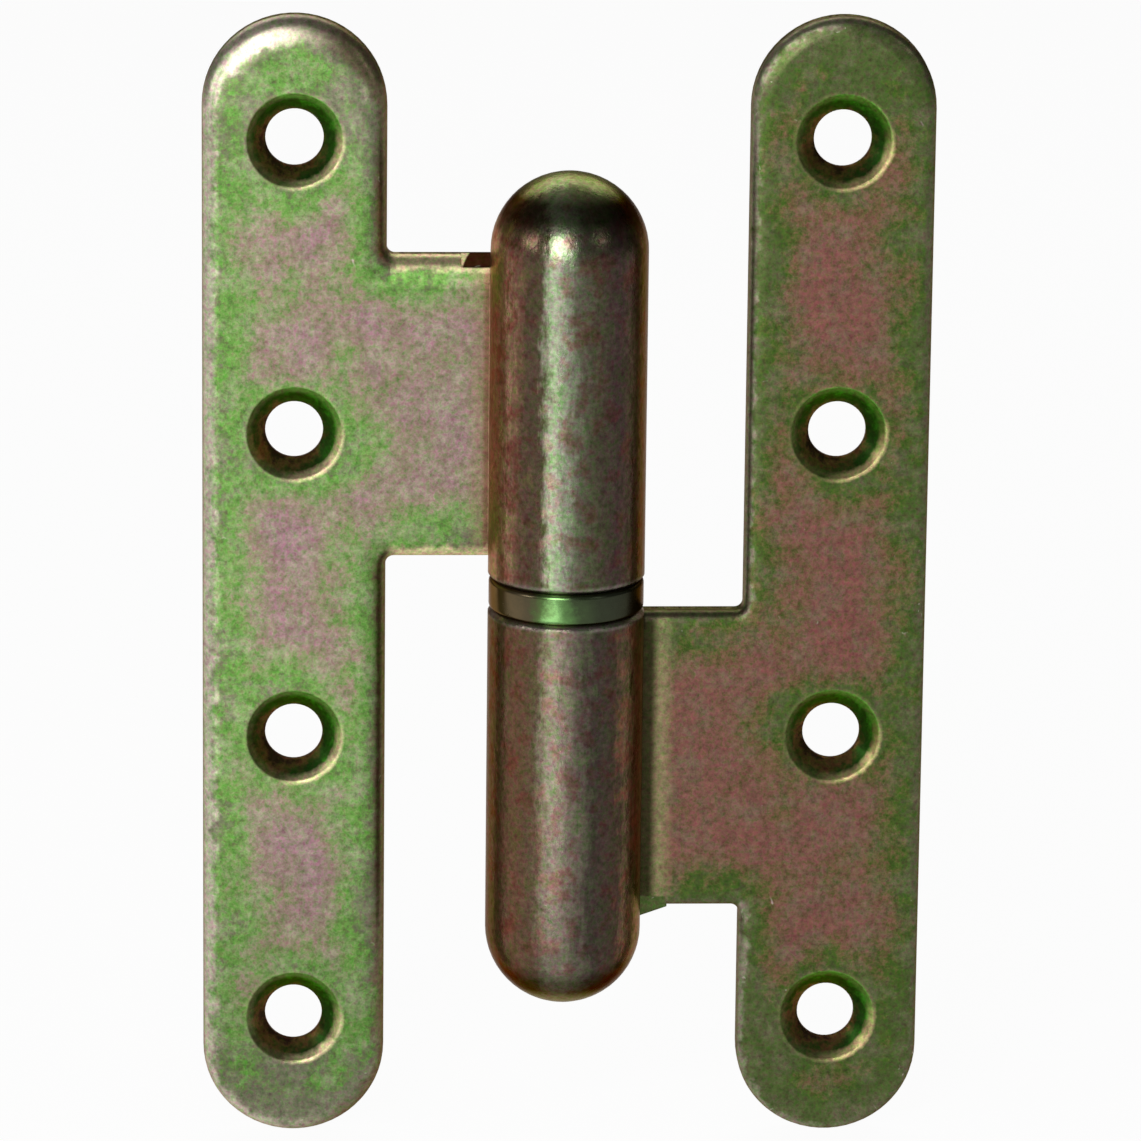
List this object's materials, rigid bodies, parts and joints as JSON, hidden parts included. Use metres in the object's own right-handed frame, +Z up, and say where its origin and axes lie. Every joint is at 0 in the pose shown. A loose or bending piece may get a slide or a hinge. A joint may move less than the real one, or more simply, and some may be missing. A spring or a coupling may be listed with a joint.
{
  "type": "lift-off hinge",
  "caption": "Steel lift-off door hinge: round-ended leaves with countersunk holes and domed knuckles on a fixed pin with a bearing ring; the upper leaf swings and lifts off.",
  "frame": {"origin": "on the pin axis, half way up the bearing ring, which is the centre of the open hinge", "axes": "+Z up along the pin, +X from the upper leaf towards the lower leaf, -Y out of the countersunk faces"},
  "size_m": [0.088, 0.019, 0.14],
  "materials": {
    "chromated_leaf": "yellow-chromated zinc plate, satin, with green and pink interference tints",
    "chromated_ring": "yellow-chromated zinc plate on a turned ring, semi-gloss",
    "ground_pin": "ground bare steel, lightly oiled"
  },
  "bodies": {
    "frame_side": {"lower_leaf": "chromated_leaf", "hinge_pin": "ground_pin"},
    "ring": {"bearing_ring": "chromated_ring"},
    "door_side": {"upper_leaf": "chromated_leaf"}
  },
  "joints": [
    {"name": "leaf_swing", "type": "hinge", "parent": "frame_side", "child": "ring", "pos_m": [0, 0, 0], "axis": [0, 0, 1], "range_deg": [-150, 180]},
    {"name": "lift_off", "type": "slide", "parent": "ring", "child": "door_side", "axis": [0, 0, 1], "range_m": [0, 0.04]}
  ]
}
